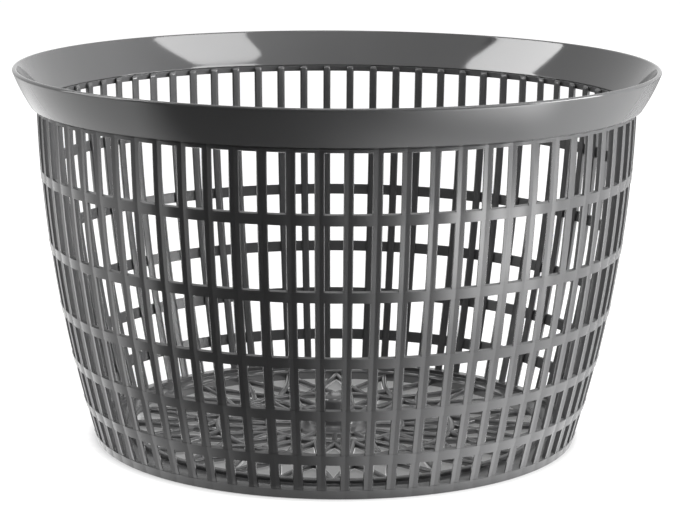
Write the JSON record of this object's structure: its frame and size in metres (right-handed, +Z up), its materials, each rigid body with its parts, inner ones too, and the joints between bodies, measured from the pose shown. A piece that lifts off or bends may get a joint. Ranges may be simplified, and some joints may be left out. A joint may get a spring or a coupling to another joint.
{
  "type": "salad spinner basket",
  "caption": "Round open strainer basket of a salad spinner: flared collar, lattice wall of upright ribs and hoops, flat grille base with a domed pivot hub.",
  "frame": {"origin": "centre of the foot ring, on the surface that the basket stands on", "axes": "+Z up along the axis that the basket turns on, -Y towards the viewer of the picture"},
  "size_m": [0.24, 0.24, 0.1406],
  "materials": {
    "grey_plastic": "glossy moulded"
  },
  "bodies": {
    "root": {"rim_collar": "grey_plastic", "neck_ring": "grey_plastic", "hoop_1": "grey_plastic", "hoop_2": "grey_plastic", "hoop_3": "grey_plastic", "hoop_4": "grey_plastic", "hoop_5": "grey_plastic", "ribs_1": "grey_plastic", "ribs_2": "grey_plastic", "ribs_3": "grey_plastic", "ribs_4": "grey_plastic", "ribs_5": "grey_plastic", "ribs_6": "grey_plastic", "ribs_7": "grey_plastic", "ribs_8": "grey_plastic", "foot_ring": "grey_plastic", "crossed_bars": "grey_plastic", "middle_ring": "grey_plastic", "middle_bars": "grey_plastic", "inner_ring": "grey_plastic", "hub_bars": "grey_plastic", "pivot_hub": "grey_plastic"}
  },
  "joints": []
}
